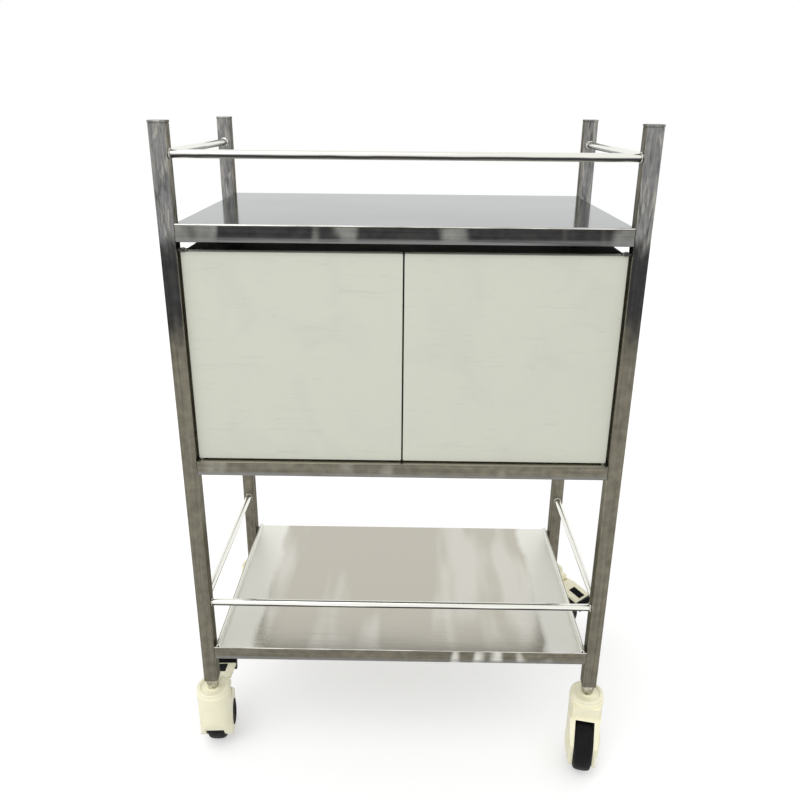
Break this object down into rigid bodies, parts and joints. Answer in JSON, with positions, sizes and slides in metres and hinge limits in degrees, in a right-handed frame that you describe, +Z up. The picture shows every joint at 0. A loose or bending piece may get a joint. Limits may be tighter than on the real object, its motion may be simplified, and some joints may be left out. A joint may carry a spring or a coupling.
{
  "type": "medicine trolley",
  "caption": "Stainless steel medicine trolley: square tube frame on swivel castors, railed deck, two-door cabinet and railed open lower shelf.",
  "frame": {"origin": "on the floor, under the middle of the whole outline with the castors as they stand; the frame's own middle is 31.9 mm to the left of it and 0.8 mm behind it", "axes": "+Z up, -Y towards the doors, +X to the right as seen from the doors"},
  "size_m": [0.8451, 0.5835, 1.1608],
  "materials": {
    "frame_steel": "polished stainless tube with tinted welds",
    "sheet_steel": "satin stainless sheet",
    "plated_steel": "zinc plated",
    "cream_plastic": "moulded, satin",
    "grey_plastic": "moulded",
    "tyre_rubber": "matt"
  },
  "bodies": {
    "frame": {"post_front_left": "frame_steel", "post_cap_front_left": "frame_steel", "castor_stem_front_left": "plated_steel", "post_front_right": "frame_steel", "post_cap_front_right": "frame_steel", "castor_stem_front_right": "plated_steel", "post_rear_left": "frame_steel", "post_cap_rear_left": "frame_steel", "castor_stem_rear_left": "plated_steel", "post_rear_right": "frame_steel", "post_cap_rear_right": "frame_steel", "castor_stem_rear_right": "plated_steel", "deck_tube_front": "frame_steel", "deck_tube_rear": "frame_steel", "deck_tube_left": "frame_steel", "deck_tube_right": "frame_steel", "cabinet_tube_front": "frame_steel", "cabinet_tube_rear": "frame_steel", "cabinet_tube_left": "frame_steel", "cabinet_tube_right": "frame_steel", "shelf_tube_front": "frame_steel", "shelf_tube_rear": "frame_steel", "shelf_tube_left": "frame_steel", "shelf_tube_right": "frame_steel", "deck_rail_front": "frame_steel", "deck_rail_left": "frame_steel", "deck_rail_right": "frame_steel", "shelf_rail_front": "frame_steel", "shelf_rail_left": "frame_steel", "shelf_rail_right": "frame_steel", "top_shelf": "sheet_steel", "lower_shelf": "sheet_steel", "cabinet_floor": "sheet_steel", "cabinet_back": "sheet_steel", "cabinet_side_left": "sheet_steel", "cabinet_side_right": "sheet_steel", "door_catch": "grey_plastic", "hinge_pin_left": "plated_steel", "hinge_pin_right": "plated_steel"},
    "door_left": {"door_left": "sheet_steel"},
    "door_right": {"door_right": "sheet_steel"},
    "swivel_front_left": {"castor_housing_front_left": "cream_plastic", "wheel_axle_front_left": "plated_steel"},
    "wheel_front_left": {"wheel_hub_front_left": "grey_plastic", "wheel_tyre_front_left": "tyre_rubber"},
    "swivel_front_right": {"castor_housing_front_right": "cream_plastic", "wheel_axle_front_right": "plated_steel"},
    "wheel_front_right": {"wheel_hub_front_right": "grey_plastic", "wheel_tyre_front_right": "tyre_rubber"},
    "swivel_rear_left": {"castor_housing_rear_left": "cream_plastic", "wheel_axle_rear_left": "plated_steel"},
    "wheel_rear_left": {"wheel_hub_rear_left": "grey_plastic", "wheel_tyre_rear_left": "tyre_rubber"},
    "swivel_rear_right": {"castor_housing_rear_right": "cream_plastic", "wheel_axle_rear_right": "plated_steel"},
    "wheel_rear_right": {"wheel_hub_rear_right": "grey_plastic", "wheel_tyre_rear_right": "tyre_rubber"},
    "pedal_front_left": {"brake_pedal_front_left": "cream_plastic"},
    "pedal_rear_right": {"brake_pedal_rear_right": "cream_plastic"}
  },
  "joints": [
    {"name": "door_left_hinge", "type": "hinge", "parent": "frame", "child": "door_left", "pos_m": [-0.37006, -0.20783, 0.7978], "axis": [0, 0, -1], "range_deg": [0, 95]},
    {"name": "door_right_hinge", "type": "hinge", "parent": "frame", "child": "door_right", "pos_m": [0.30634, -0.20783, 0.7978], "axis": [0, 0, 1], "range_deg": [0, 95]},
    {"name": "swivel_front_left", "type": "hinge", "parent": "frame", "child": "swivel_front_left", "pos_m": [-0.38916, -0.20903, 0.143], "axis": [0, 0, 1], "continuous": true},
    {"name": "roll_front_left", "type": "hinge", "parent": "swivel_front_left", "child": "wheel_front_left", "pos_m": [-0.39083, -0.17707, 0.04976], "axis": [0.9986, 0.0523, 0], "continuous": true},
    {"name": "swivel_front_right", "type": "hinge", "parent": "frame", "child": "swivel_front_right", "pos_m": [0.32544, -0.20903, 0.143], "axis": [0, 0, 1], "continuous": true},
    {"name": "roll_front_right", "type": "hinge", "parent": "swivel_front_right", "child": "wheel_front_right", "pos_m": [0.31879, -0.24033, 0.04976], "axis": [-0.9781, 0.2079, 0], "continuous": true},
    {"name": "swivel_rear_left", "type": "hinge", "parent": "frame", "child": "swivel_rear_left", "pos_m": [-0.38916, 0.21057, 0.143], "axis": [0, 0, 1], "continuous": true},
    {"name": "roll_rear_left", "type": "hinge", "parent": "swivel_rear_left", "child": "wheel_rear_left", "pos_m": [-0.38916, 0.24257, 0.04976], "axis": [1, 0, 0], "continuous": true},
    {"name": "swivel_rear_right", "type": "hinge", "parent": "frame", "child": "swivel_rear_right", "pos_m": [0.32544, 0.21057, 0.143], "axis": [0, 0, 1], "continuous": true},
    {"name": "roll_rear_right", "type": "hinge", "parent": "swivel_rear_right", "child": "wheel_rear_right", "pos_m": [0.34685, 0.18679, 0.04976], "axis": [-0.7431, -0.6691, 0], "continuous": true},
    {"name": "brake_front_left", "type": "hinge", "parent": "swivel_front_left", "child": "pedal_front_left", "pos_m": [-0.3912, -0.17008, 0.11596], "axis": [0.9986, 0.0523, 0], "range_deg": [0, 17]},
    {"name": "brake_rear_right", "type": "hinge", "parent": "swivel_rear_right", "child": "pedal_rear_right", "pos_m": [0.35154, 0.18159, 0.11596], "axis": [-0.7431, -0.6691, 0], "range_deg": [0, 17]}
  ]
}
